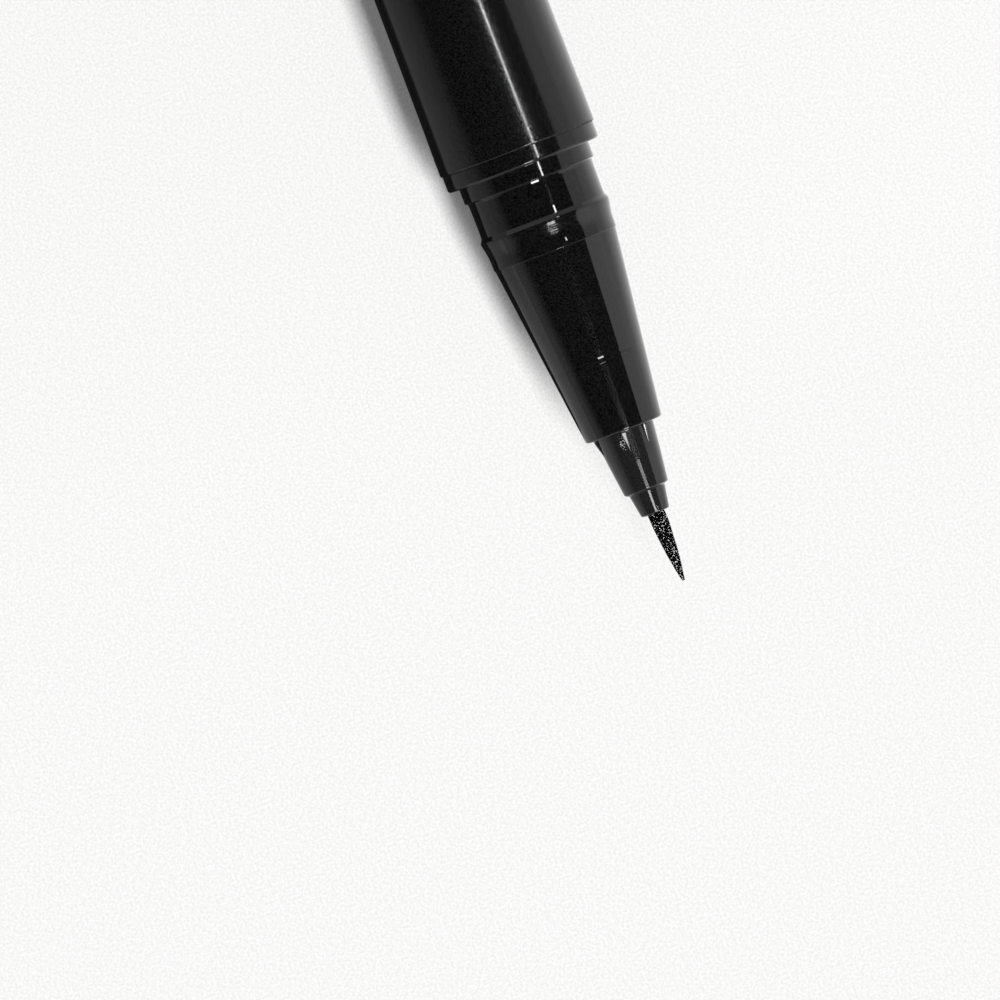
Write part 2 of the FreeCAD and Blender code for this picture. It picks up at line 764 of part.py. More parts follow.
def make_ink_tank():
    length = flange_rear - tank_rear
    end = cell("tank_end")
    body = turned_body(
        "ink_tank",
        tank_rear,
        [
            (NOTHING, NOTHING),
            (NOTHING, pressed_radius),
            (length, pressed_radius),
            (length, tank_bore),
            (end, tank_bore),
            (end, NOTHING),
        ],
    )
    round_rings(body, cell("tank_round"), (NOTHING, pressed_radius))
    return body


# The ball lies on the lower side of the tank and rolls along it when the pen is shaken.
def make_mixing_ball():
    ball = document.addObject("Part::Sphere", "mixing_ball")
    ball.Label = "mixing_ball"
    ball.setExpression("Radius", cell("ball_radius").text)
    along = tank_rear + cell("tank_end") + cell("ball_place")
    drop = tank_bore - cell("ball_radius") - cell("stop_gap")
    ball.setExpression("Placement.Base.x", along.text)
    ball.setExpression("Placement.Base.z", (barrel_radius - drop).text)
    return ball


# The tail plug closes the barrel, and its spigot repeats the neck so that the cap fits on it.
def make_tail_plug():
    collar = spigot_length + cell("tail_collar_length")
    length = collar + cell("tail_plug_length")
    hollow = neck_radius - cell("tail_wall")
    body = turned_body(
        "tail_plug",
        spigot_rear,
        [
            (NOTHING, NOTHING),
            (NOTHING, neck_radius),
            (spigot_length, neck_radius),
            (spigot_length, collar_radius),
            (collar, collar_radius),
            (collar, pressed_radius),
            (length, pressed_radius),
            (length, hollow),
            (cell("tail_end"), hollow),
            (cell("tail_end"), NOTHING),
        ],
    )
    round_rings(body, cell("spigot_round"), (NOTHING, neck_radius))
    round_rings(body, cell("collar_round"), (spigot_length, collar_radius))
    return body


# The cap shell has a snap ridge for the neck and a lip that keeps the inner cap in.
def make_cap_shell():
    lip_radius = cell("inner_cap_radius") + cell("slide_clearance")
    lip_front = shell_length - lip_depth
    lip_rear = lip_front - cell("lip_length")
    ridge_rear = shell_length - snap_length
    ridge_front = ridge_rear + cell("ridge_width")
    body = turned_body(
        "cap_shell",
        shell_rear,
        [
            (NOTHING, chamber_radius),
            (NOTHING, barrel_radius),
            (shell_length, barrel_radius),
            (shell_length, cap_bore),
            (ridge_front, cap_bore),
            (ridge_front - cell("ridge_flank"), ridge_radius),
            (ridge_rear + cell("ridge_flank"), ridge_radius),
            (ridge_rear, cap_bore),
            (lip_front, cap_bore),
            (lip_front, lip_radius),
            (lip_rear, lip_radius),
            (lip_rear, chamber_radius),
        ],
    )
    round_rings(body, cell("shell_round"), (shell_length, barrel_radius))
    chamfer_rings(body, cell("mouth_chamfer"), (shell_length, cap_bore))
    return body


# The inner cap is pushed back by the nose and seals it, with a spring behind its closed end.
def make_inner_cap():
    radius = cell("inner_cap_radius")
    flange_radius = chamber_radius - cell("slide_clearance")
    boss = cell("boss_length")
    closed = boss + cell("inner_cap_end")
    mouth = boss + inner_cap_length
    flange_front = mouth - cell("inner_cap_reach")
    flange_rear_face = flange_front - cell("inner_cap_flange")
    body = turned_body(
        "inner_cap",
        inner_cap_rear - boss,
        [
            (NOTHING, NOTHING),
            (NOTHING, boss_radius),
            (boss, boss_radius),
            (boss, radius),
            (flange_rear_face, radius),
            (flange_rear_face, flange_radius),
            (flange_front, flange_radius),
            (flange_front, radius),
            (mouth, radius),
            (mouth, inner_cap_bore),
            (closed, inner_cap_bore),
            (closed, NOTHING),
        ],
    )
    chamfer_rings(body, cell("seal_chamfer"), (mouth, inner_cap_bore))
    return body


def make_cap_crown():
    visible = cell("crown_length")
    plug = visible + cell("crown_plug_length")
    boss = plug + cell("boss_length")
    radius = barrel_radius - cell("crown_inset")
    plug_radius = chamber_radius - press_clearance
    body = turned_body(
        "cap_crown",
        crown_rear,
        [
            (NOTHING, NOTHING),
            (NOTHING, radius),
            (visible, radius),
            (visible, plug_radius),
            (plug, plug_radius),
            (plug, boss_radius),
            (boss, boss_radius),
            (boss, NOTHING),
        ],
    )
    round_rings(body, cell("crown_round"), (NOTHING, radius))
    return body


# One unbroken wire, from the crown's plug to the closed end of the inner cap.
def make_inner_cap_spring():
    body = new_body("inner_cap_spring", crown_front)
    start = cell("wire_radius") + cell("stop_gap")
    height = cell("spring_space") - start * TWICE
    sketch = new_sketch(body, "wire_outline")
    draw_circle(sketch, start, cell("spring_radius"), cell("wire_radius"))
    coil = body.newObject("PartDesign::AdditiveHelix", "inner_cap_spring_coil")
    coil.Profile = sketch
    coil.ReferenceAxis = (sketch, ["H_Axis"])
    coil.Mode = "height-turns-angle"
    coil.setExpression("Height", height.text)
    coil.setExpression("Turns", cell("spring_turns").text)
    document.recompute()
    print(f"inner_cap_spring: least gap {least_coil_gap(height.value()):.3f} mm")
    return body


def least_coil_gap(height):
    """Least gap from one turn of the spring to another, measured on points of its wire."""
    radius = cell("spring_radius").value()
    count = round(cell("spring_turns").value() * POINTS_PER_TURN)
    points = []
    for i in range(count + 1):
        angle = math.tau * i / POINTS_PER_TURN
        y, z = radius * math.cos(angle), radius * math.sin(angle)
        points.append(FreeCAD.Vector(height * i / count, y, z))
    nearest = min(
        point.distanceToPoint(other)
        for i, point in enumerate(points)
        for other in points[i + POINTS_PER_TURN // 2 :]
    )
    return nearest - 2 * cell("wire_radius").value()


MAKERS = [
    make_barrel,
    make_front_section,
    make_nozzle,
    make_brush,
    make_brush_retainer,
    make_guide_pipe,
    make_relay_core,
    make_collector,
    make_tank_plug,
    make_ink_tank,
    make_mixing_ball,
    make_tail_plug,
    make_cap_shell,
    make_inner_cap,
    make_cap_crown,
    make_inner_cap_spring,
]

pieces = [make() for make in MAKERS]
document.recompute()

for thing in document.Objects:
    if {"Invalid", "Error"} & set(thing.State):
        sys.exit(f"{thing.Name} failed: {thing.State}")
    if thing.isDerivedFrom("Sketcher::SketchObject") and not thing.FullyConstrained:
        sys.exit(f"{thing.Name} has a free dimension")

os.makedirs("parts", exist_ok=True)
for piece in pieces:
    shape = piece.Shape
    if shape.isNull() or not shape.isValid() or not shape.Solids:
        sys.exit(f"{piece.Label} has no valid solid")
    shape.exportStep(f"parts/{piece.Label}.step")
    box = shape.BoundBox
    print(f"{piece.Label}: {len(shape.Solids)} solid, x {box.XMin:.2f} to {box.XMax:.2f}")
print(f"overall length {overall_length.value():.2f} mm")
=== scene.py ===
"""Looks of the uncapped liquid eyeliner pen, whose cap is pushed on its tail.

The pen lies along X on a pale floor, brush towards +X, and is seen from straight above.
Lengths are millimetres, and places are in the row frame. Blender gets metres.
"""

import math
import random

import bpy
from mathutils import Matrix, Vector


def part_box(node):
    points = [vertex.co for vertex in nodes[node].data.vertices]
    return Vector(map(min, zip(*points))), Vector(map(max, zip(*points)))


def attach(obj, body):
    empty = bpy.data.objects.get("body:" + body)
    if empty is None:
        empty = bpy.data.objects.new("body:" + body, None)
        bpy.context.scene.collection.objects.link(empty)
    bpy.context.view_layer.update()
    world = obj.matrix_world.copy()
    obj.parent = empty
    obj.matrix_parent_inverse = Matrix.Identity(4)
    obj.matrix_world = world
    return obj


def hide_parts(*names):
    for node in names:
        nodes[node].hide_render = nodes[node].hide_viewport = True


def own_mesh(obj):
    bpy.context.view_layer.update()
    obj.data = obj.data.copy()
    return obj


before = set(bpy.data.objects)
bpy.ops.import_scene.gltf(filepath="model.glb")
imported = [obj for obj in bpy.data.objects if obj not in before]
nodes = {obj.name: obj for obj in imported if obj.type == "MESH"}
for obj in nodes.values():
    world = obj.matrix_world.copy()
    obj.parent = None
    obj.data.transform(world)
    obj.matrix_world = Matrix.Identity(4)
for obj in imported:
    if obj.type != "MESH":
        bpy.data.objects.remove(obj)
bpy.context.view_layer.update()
random.seed(7)

MM = 0.001
FULL_TURN = 2 * math.pi
GOLDEN_TURN = math.pi * (3 - math.sqrt(5))


def box_mm(node):
    """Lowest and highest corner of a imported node, in mm."""
    low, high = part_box(node)
    return low / MM, high / MM


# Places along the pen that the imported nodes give.
axis_height_mm = (box_mm("barrel")[0].z + box_mm("barrel")[1].z) / 2
barrel_edge_mm = box_mm("barrel")[1].x
cone_face_mm = box_mm("front_section")[1].x
mouth_mm = box_mm("nozzle")[1].x
tip_mm = box_mm("brush_tip")[1].x
pipe_end_mm = box_mm("guide_pipe")[1].x

# Camera: above, a little nearer the tail, and so far away that rings across the pen look straight.
frame_width_mm = 64.5
camera_above_axis_mm = 1500.0
camera_behind_aim_mm = 40.0
aim_behind_tip_mm = 9.07
aim_y_mm = -9.10
pen_tilt_in_frame = math.radians(20.82)
sensor_mm = 36.0
nearest_seen_mm = 150.0
farthest_seen_mm = 6000.0


def make_camera():
    data = bpy.data.cameras.new("camera")
    data.sensor_width = sensor_mm
    data.lens = sensor_mm * camera_above_axis_mm / frame_width_mm
    data.clip_start = nearest_seen_mm * MM
    data.clip_end = farthest_seen_mm * MM
    camera = bpy.data.objects.new("camera", data)
    camera_x_mm = tip_mm - aim_behind_tip_mm - camera_behind_aim_mm
    camera_z_mm = axis_height_mm + camera_above_axis_mm
    camera.location = Vector((camera_x_mm, aim_y_mm, camera_z_mm)) * MM
    lean = math.atan(camera_behind_aim_mm / camera_above_axis_mm)
    turn = Matrix.Rotation(math.radians(90) - pen_tilt_in_frame, 3, "Z")
    camera.rotation_euler = (Matrix.Rotation(-lean, 3, "Y") @ turn).to_euler()
    bpy.context.scene.collection.objects.link(camera)
    bpy.context.scene.camera = camera


# Materials

def linear(hex_colour):
    """An sRGB hex colour as linear red, green, blue and full alpha."""
    parts = [int(hex_colour[i : i + 2], 16) / 255 for i in (1, 3, 5)]
    curve = [p / 12.92 if p <= 0.04045 else ((p + 0.055) / 1.055) ** 2.4 for p in parts]
    return (*curve, 1.0)


def add(tree, kind, inputs=None, **settings):
    """Adds a node. Inputs are numbers, colours or sockets to link, by name or number."""
    node = tree.nodes.new(kind)
    for name, value in settings.items():
        setattr(node, name, value)
    for name, value in (inputs or {}).items():
        socket = node.inputs[name]
        if isinstance(value, bpy.types.NodeSocket):
            tree.links.new(value, socket)
        else:
            socket.default_value = value
    return node


def new_material(name):
    """An empty material with its Principled shader, its tree and the place on the pen in metres."""
    material = bpy.data.materials.new(name)
    material.use_nodes = True
    tree = material.node_tree
    shader = tree.nodes["Principled BSDF"]
    place = add(tree, "ShaderNodeTexCoord").outputs["Object"]
    return material, tree, shader, place


def per_mm(pattern_mm):
    """Texture scale whose features are about that many millimetres apart."""
    return 1 / (pattern_mm * MM)


# ABS with 2 percent carbon black, moulded in a polished tool. The eye gets a deep black and a
# mirror as sharp as glass. Handling scuffs too fine to see one by one put a haze round its
# highlights, and fine dust makes the black uneven. Both are drawn as coarse as they need to show.
# Each zone is a stretch along the pen, in mm, with the haze that it has there.
def polished_abs(name, haze, haze_roughness, zones=()):
    black = linear("#020203")
    dusty = linear("#1b1b1c")
    ior = 1.54
    mirror_roughness = 0.045
    scuff_mm = 0.05
    scuff_spread = 0.16
    flow_mm = 6.0
    flow_height_mm = 0.0006
    dust_mm = 0.10
    # the noise at which dust begins to grey the black, and at which it is greyest
    dust_shows = (0.36, 0.66)
    material, tree, shader, place = new_material(name)
    scuffs = add(
        tree, "ShaderNodeTexNoise", {"Vector": place, "Scale": per_mm(scuff_mm), "Detail": 1.0}
    ).outputs["Fac"]
    flow = add(
        tree, "ShaderNodeTexNoise", {"Vector": place, "Scale": per_mm(flow_mm), "Detail": 1.0}
    ).outputs["Fac"]
    along = add(tree, "ShaderNodeSeparateXYZ", {0: place}).outputs["X"]
    level = haze
    for start_mm, end_mm, zone_haze in zones:
        inside = add(
            tree,
            "ShaderNodeMath",
            {0: along, 1: (start_mm + end_mm) / 2 * MM, 2: (end_mm - start_mm) / 2 * MM},
            operation="COMPARE",
        ).outputs[0]
        level = add(
            tree, "ShaderNodeMix", {0: inside, 2: level, 3: zone_haze}
        ).outputs[0]
    # Scuffs show where their noise and the haze of the place add up to about 1 or more.
    shown = add(tree, "ShaderNodeMath", {0: scuffs, 1: level}, operation="ADD").outputs[0]
    roughness = add(
        tree,
        "ShaderNodeMapRange",
        {
            "Value": shown,
            "From Min": 1.0 - scuff_spread / 2,
            "From Max": 1.0 + scuff_spread / 2,
            "To Min": mirror_roughness,
            "To Max": haze_roughness,
        },
    ).outputs[0]
    bump = add(
        tree,
        "ShaderNodeBump",
        {"Height": flow, "Distance": flow_height_mm * MM, "Strength": 1.0},
    ).outputs[0]
    dust = add(
        tree, "ShaderNodeTexNoise", {"Vector": place, "Scale": per_mm(dust_mm), "Detail": 1.0}
    ).outputs["Fac"]
    dust_amount = add(
        tree,
        "ShaderNodeMapRange",
        {"Value": dust, "From Min": dust_shows[0], "From Max": dust_shows[1]},
    ).outputs[0]
    colour = add(
        tree, "ShaderNodeMix", {0: dust_amount, 6: black, 7: dusty}, data_type="RGBA"
    ).outputs[2]
    shader.inputs["IOR"].default_value = ior
    tree.links.new(colour, shader.inputs["Base Color"])
    tree.links.new(roughness, shader.inputs["Roughness"])
    tree.links.new(bump, shader.inputs["Normal"])
    return material


# ABS from a tool that was only rubbed bright at its front. The eye gets a gloss that is duller at
# the rear of the taper. A highlight is painted there in pale colour, a wedge that ends in a point,
# with loose specks of pale dust beside it. By the wet bristles a little more dust clings to the
# mouth.
def rubbed_abs(name):
    black = linear("#111112")
    dusty = linear("#29292a")
    # pale colour of the dust specks, and of the painted highlight
    pale_dust_and_highlight = linear("#cccccc")
    ior = 1.54
    rear_roughness = 0.13
    front_roughness = 0.09
    rubbed_from_mm = cone_face_mm + 1.85
    rubbed_to_mm = cone_face_mm + 2.0
    grain_mm = 0.05
    grain_height_mm = 0.0002
    # the painted highlight: a pale wedge on top of the taper, from just in front of the face to its
    # point
    highlight_rear_mm = cone_face_mm + 0.06
    highlight_point_mm = cone_face_mm + 1.42
    highlight_rear_y_mm = -0.13
    highlight_point_y_mm = -0.10
    highlight_half_width_mm = 0.12
    highlight_edge_mm = 0.03
    dust_mm = 0.06
    # the noise at which dust begins to grey the black, and at which it is greyest
    dust_shows = (0.30, 0.70)
    # the same for the loose specks, once their patch has raised the noise
    specks_show = (0.755, 0.82)
    # patches of loose specks: middle, reach and how far they raise the noise
    patches = (
        ((cone_face_mm + 0.66, -0.42, axis_height_mm + 1.85), (0.80, 0.34, 0.6), 0.22),
        ((mouth_mm - 0.22, 0.20, axis_height_mm + 0.95), (0.42, 0.18, 0.4), 0.24),
    )
    # up to this share of its reach a patch is at its most
    patch_core = 0.3
    material, tree, shader, place = new_material(name)
    grain = add(
        tree, "ShaderNodeTexNoise", {"Vector": place, "Scale": per_mm(grain_mm), "Detail": 2.0}
    ).outputs["Fac"]
    specks = add(
        tree, "ShaderNodeTexNoise", {"Vector": place, "Scale": per_mm(dust_mm), "Detail": 2.0}
    ).outputs["Fac"]
    split = add(tree, "ShaderNodeSeparateXYZ", {0: place})
    along, across, up = split.outputs["X"], split.outputs["Y"], split.outputs["Z"]
    roughness = add(
        tree,
        "ShaderNodeMapRange",
        {
            "Value": along,
            "From Min": rubbed_from_mm * MM,
            "From Max": rubbed_to_mm * MM,
            "To Min": rear_roughness,
            "To Max": front_roughness,
        },
        interpolation_type="SMOOTHSTEP",
    ).outputs[0]

    # The painted highlight's middle line and half width at each place along it. The half width ends
    # at minus the soft edge, so that the painted highlight closes in a point.
    ends = {"Value": along, "From Min": highlight_rear_mm * MM, "From Max": highlight_point_mm * MM}
    highlight_middle = add(
        tree,
        "ShaderNodeMapRange",
        {**ends, "To Min": highlight_rear_y_mm * MM, "To Max": highlight_point_y_mm * MM},
    ).outputs[0]
    highlight_width = add(
        tree,
        "ShaderNodeMapRange",
        {**ends, "To Min": highlight_half_width_mm * MM, "To Max": -highlight_edge_mm * MM},
    ).outputs[0]
    aside = add(
        tree, "ShaderNodeMath", {0: across, 1: highlight_middle}, operation="SUBTRACT"
    ).outputs[0]
    beside = add(tree, "ShaderNodeMath", {0: aside}, operation="ABSOLUTE").outputs[0]
    inward = add(
        tree, "ShaderNodeMath", {0: highlight_width, 1: beside}, operation="SUBTRACT"
    ).outputs[0]
    in_painted_highlight = add(
        tree,
        "ShaderNodeMapRange",
        {"Value": inward, "From Min": -highlight_edge_mm * MM, "From Max": highlight_edge_mm * MM},
    ).outputs[0]
    # the painted highlight shows only on top, in front of the cone's face
    on_top = add(
        tree, "ShaderNodeMath", {0: up, 1: axis_height_mm * MM}, operation="GREATER_THAN"
    ).outputs[0]
    in_front_of_face = add(
        tree, "ShaderNodeMath", {0: along, 1: highlight_rear_mm * MM}, operation="GREATER_THAN"
    ).outputs[0]
    painted_highlight = add(
        tree, "ShaderNodeMath", {0: in_painted_highlight, 1: on_top}, operation="MULTIPLY"
    ).outputs[0]
    painted_highlight = add(
        tree, "ShaderNodeMath", {0: painted_highlight, 1: in_front_of_face}, operation="MULTIPLY"
    ).outputs[0]

    dustiness = 0.0
    for middle_mm, reach_mm, most in patches:
        from_middle = add(
            tree,
            "ShaderNodeVectorMath",
            {0: place, 1: [c * MM for c in middle_mm]},
            operation="SUBTRACT",
        ).outputs[0]
        in_reaches = add(
            tree,
            "ShaderNodeVectorMath",
            {0: from_middle, 1: [c * MM for c in reach_mm]},
            operation="DIVIDE",
        ).outputs[0]
        distance = add(
            tree, "ShaderNodeVectorMath", {0: in_reaches}, operation="LENGTH"
        ).outputs["Value"]
        patch = add(
            tree,
            "ShaderNodeMapRange",
            {
                "Value": distance,
                "From Min": patch_core,
                "From Max": 1.0,
                "To Min": most,
                "To Max": 0.0,
            },
        ).outputs[0]
        dustiness = add(
            tree, "ShaderNodeMath", {0: dustiness, 1: patch}, operation="MAXIMUM"
        ).outputs[0]
    shown = add(tree, "ShaderNodeMath", {0: specks, 1: dustiness}, operation="ADD").outputs[0]
    loose = add(
        tree,
        "ShaderNodeMapRange",
        {"Value": shown, "From Min": specks_show[0], "From Max": specks_show[1]},
    ).outputs[0]
    # pale where dust specks lie, and where the highlight is painted
    amount = add(tree, "ShaderNodeMath", {0: loose, 1: painted_highlight}, operation="MAXIMUM").outputs[0]
    uneven = add(
        tree,
        "ShaderNodeMapRange",
        {"Value": specks, "From Min": dust_shows[0], "From Max": dust_shows[1]},
    ).outputs[0]
    ground = add(
        tree, "ShaderNodeMix", {0: uneven, 6: black, 7: dusty}, data_type="RGBA"
    ).outputs[2]
    colour = add(
        tree, "ShaderNodeMix", {0: amount, 6: ground, 7: pale_dust_and_highlight}, data_type="RGBA"
    ).outputs[2]
    bump = add(
        tree,
        "ShaderNodeBump",
        {"Height": grain, "Distance": grain_height_mm * MM, "Strength": 1.0},
    ).outputs[0]
    shader.inputs["IOR"].default_value = ior
    tree.links.new(colour, shader.inputs["Base Color"])
    tree.links.new(roughness, shader.inputs["Roughness"])
    tree.links.new(bump, shader.inputs["Normal"])
    return material


# PBT filaments soaked with drying ink. The eye gets a matt black with grey films of ink. Pale
# flecks are painted glints: white in the colour where wet spots catch the light. The broken surface
# has hardly any mirror of its own. Films and painted glints are drawn as coarse as they need to
# show.
def inked_pbt(name):
    ink = linear("#040405")
    film = linear("#1b1b1c")
    # white painted into the colour as glints of light on wet ink
    painted_glint_colour = linear("#ffffff")
    ior = 1.50
    roughness = 0.65
    mirror_level = 0.02
    film_mm = 0.10
    glint_mm = 0.088
    glint_height_mm = 0.006
    # the noise at which films and painted glints begin to show, and at which they are full
    film_shows = (0.56, 0.64)
    painted_glint_shows = (0.618, 0.64)
    material, tree, shader, place = new_material(name)
    glint_noise = add(
        tree,
        "ShaderNodeTexNoise",
        {"Vector": place, "Scale": per_mm(glint_mm), "Detail": 2.0, "Distortion": 0.3},
    ).outputs["Fac"]
    films = add(
        tree,
        "ShaderNodeTexNoise",
        {"Vector": place, "Scale": per_mm(film_mm), "Detail": 2.0, "Distortion": 1.0},
    ).outputs["Fac"]
    film_amount = add(
        tree,
        "ShaderNodeMapRange",
        {"Value": films, "From Min": film_shows[0], "From Max": film_shows[1]},
    ).outputs[0]
    painted_glint_amount = add(
        tree,
        "ShaderNodeMapRange",
        {"Value": glint_noise, "From Min": painted_glint_shows[0], "From Max": painted_glint_shows[1]},
    ).outputs[0]
    ground = add(
        tree, "ShaderNodeMix", {0: film_amount, 6: ink, 7: film}, data_type="RGBA"
    ).outputs[2]
    # the painted glints lie over the ink and its films
    colour = add(
        tree, "ShaderNodeMix", {0: painted_glint_amount, 6: ground, 7: painted_glint_colour}, data_type="RGBA"
    ).outputs[2]
    bump = add(
        tree,
        "ShaderNodeBump",
        {"Height": glint_noise, "Distance": glint_height_mm * MM, "Strength": 1.0},
    ).outputs[0]
    shader.inputs["Roughness"].default_value = roughness
    shader.inputs["IOR"].default_value = ior
    shader.inputs["Specular IOR Level"].default_value = mirror_level
    tree.links.new(colour, shader.inputs["Base Color"])
    tree.links.new(bump, shader.inputs["Normal"])
    return material


# Undyed moulding, or inked fibre, inside the pen. The eye gets a soft gloss, the grain that its
# making leaves, and a milky depth where light goes into it.
def natural_plastic(name, pale, shade, roughness, grain_mm, translucent=0.0):
    ior = 1.50
    grain_height_share = 0.04
    bump_strength = 0.6
    light_depth_mm = 0.5
    material, tree, shader, place = new_material(name)
    grain = add(
        tree, "ShaderNodeTexNoise", {"Vector": place, "Scale": per_mm(grain_mm), "Detail": 4.0}
    ).outputs["Fac"]
    colour = add(
        tree,
        "ShaderNodeMix",
        {0: grain, 6: linear(pale), 7: linear(shade)},
        data_type="RGBA",
    ).outputs[2]
    bump = add(
        tree,
        "ShaderNodeBump",
        {
            "Height": grain,
            "Distance": grain_mm * grain_height_share * MM,
            "Strength": bump_strength,
        },
    ).outputs[0]
    shader.inputs["Roughness"].default_value = roughness
    shader.inputs["IOR"].default_value = ior
    shader.inputs["Subsurface Weight"].default_value = translucent
    shader.inputs["Subsurface Scale"].default_value = light_depth_mm * MM
    tree.links.new(colour, shader.inputs["Base Color"])
    tree.links.new(bump, shader.inputs["Normal"])
    return material


# Stainless steel, ground or drawn. The eye gets a bright grey reflection, softened by fine grain.
def drawn_steel(name):
    steel = linear("#c2c4c6")
    grain_mm = 0.05
    smoothest = 0.18
    roughest = 0.34
    material, tree, shader, place = new_material(name)
    grain = add(
        tree, "ShaderNodeTexNoise", {"Vector": place, "Scale": per_mm(grain_mm), "Detail": 2.0}
    ).outputs["Fac"]
    roughness = add(
        tree, "ShaderNodeMapRange", {"Value": grain, "To Min": smoothest, "To Max": roughest}
    ).outputs[0]
    shader.inputs["Base Color"].default_value = steel
    shader.inputs["Metallic"].default_value = 1.0
    tree.links.new(roughness, shader.inputs["Roughness"])
    return material


def finish_nodes(steel):
    """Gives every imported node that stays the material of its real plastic, fibre or metal."""
    # The barrel is worn most just behind its front edge.
    wear_from_mm = barrel_edge_mm - 2.8
    wear_to_mm = barrel_edge_mm - 0.5
    wear_haze = 0.56
    barrel = polished_abs(
        "polished_abs_barrel",
        haze=0.53,
        haze_roughness=0.21,
        zones=((wear_from_mm, wear_to_mm, wear_haze),),
    )
    cap = polished_abs("polished_abs_cap", haze=0.50, haze_roughness=0.18)
    # Acetal is milky white and half matt.
    acetal = natural_plastic(
        "natural_acetal", "#e9e6dc", "#dcd8cb", roughness=0.35, grain_mm=0.4
    )
    # Bonded polyester fibre, soaked with ink, is dark and matt.
    fibre = natural_plastic(
        "inked_polyester_fibre", "#2b2b2d", "#1c1c1e", roughness=0.8, grain_mm=0.08
    )
    # Polypropylene is glossier, and light goes into it.
    tank = natural_plastic(
        "natural_polypropylene",
        "#e4e7e6",
        "#d3d8d7",
        roughness=0.28,
        grain_mm=1.2,
        translucent=0.4,
    )
    # Soft polyethylene is waxy.
    liner = natural_plastic(
        "soft_polyethylene",
        "#e8e8e4",
        "#dadad4",
        roughness=0.45,
        grain_mm=0.7,
        translucent=0.3,
    )
    finishes = {
        "barrel": barrel,
        "tail_plug": barrel,
        "cap_shell": cap,
        "cap_crown": cap,
        "brush_retainer": acetal,
        "guide_pipe": acetal,
        "collector": acetal,
        "tank_plug": acetal,
        "relay_core": fibre,
        "ink_tank": tank,
        "inner_cap": liner,
        "mixing_ball": steel,
    }
    for name, material in finishes.items():
        for slot in nodes[name].material_slots:
            slot.material = material


# Turned shapes

def rounded_outline(corners):
    """Points and outward normals round a closed outline with rounded corners.

    Each corner is (along, radius, rounding), and the solid lies on the right of the path.
    """
    arc_step = math.radians(7)
    fewest_steps = 2
    places = [Vector(corner[:2]) for corner in corners]
    outline = []
    for i, (corner, rounding) in enumerate(zip(places, [c[2] for c in corners])):
        arriving = (corner - places[i - 1]).normalized()
        leaving = (places[(i + 1) % len(places)] - corner).normalized()
        turn = math.atan2(arriving.x * leaving.y - arriving.y * leaving.x, arriving.dot(leaving))
        hollow = math.copysign(1, turn)
        start = corner - arriving * rounding * math.tan(abs(turn) / 2)
        heading = math.atan2(arriving.y, arriving.x)
        centre = start + Vector((-arriving.y, arriving.x)) * rounding * hollow
        steps = max(fewest_steps, math.ceil(abs(turn) / arc_step))
        for j in range(steps + 1):
            angle = heading + turn * j / steps
            normal = Vector((-math.sin(angle), math.cos(angle)))
            outline.append((centre - normal * rounding * hollow, normal))
    return outline


def ahead_of(start_mm, corners):
    """Corners for the lathe, from corners whose places are in front of a start."""
    return [(start_mm + along, radius, rounding) for along, radius, rounding in corners]


def mesh_object(name, vertices, faces):
    """A new object of these vertices, in metres, and faces."""
    mesh = bpy.data.meshes.new(name)
    mesh.from_pydata(vertices, [], faces)
    made = bpy.data.objects.new(name, mesh)
    bpy.context.scene.collection.objects.link(made)
    return made


def lathe(name, corners, sides=160):
    """An object made by turning a rounded outline round the pen's axis."""
    outline = rounded_outline(corners)
    vertices = []
    normals = []
    for point, normal in outline:
        for k in range(sides):
            y = math.sin(FULL_TURN * k / sides)
            z = math.cos(FULL_TURN * k / sides)
            place = Vector((point.x, point.y * y, axis_height_mm + point.y * z))
            vertices.append(place * MM)
            normals.append((normal.x, normal.y * y, normal.y * z))
    faces = []
    for i in range(len(outline)):
        here = i * sides
        there = (i + 1) % len(outline) * sides
        for k in range(sides):
            after = (k + 1) % sides
            faces.append((here + k, there + k, there + after, here + after))
    turned = mesh_object(name, vertices, faces)
    turned.data.shade_smooth()
    turned.data.normals_split_custom_set_from_vertices(normals)
    return turned


def evenly(start, end, steps):
    """Places from start to end, both included, with that many steps between them."""
    return [start + (end - start) * j / steps for j in range(steps + 1)]


def strand(vertices, faces, centres, radii, sides):
    """Adds a round strand along X through the centres, closed at both ends."""
    first = len(vertices)
    for centre, radius in zip(centres, radii):
        for k in range(sides):
            angle = FULL_TURN * k / sides
            across = Vector((0, math.sin(angle), math.cos(angle)))
            vertices.append((centre + across * radius) * MM)
    for i in range(len(centres) - 1):
        here = first + i * sides
        for k in range(sides):
            after = (k + 1) % sides
            faces.append((here + k, here + sides + k, here + sides + after, here + after))
    faces.append([first + k for k in range(sides)])
    faces.append([first + (len(centres) - 1) * sides + k for k in reversed(range(sides))])


# Pieces of the pen

def fit_out(piece, material, body, slot, *replaced):
    """Gives a piece its material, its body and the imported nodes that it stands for, if any."""
    piece.data.materials.append(material)
    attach(piece, body)
    if replaced:
        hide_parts(*replaced)


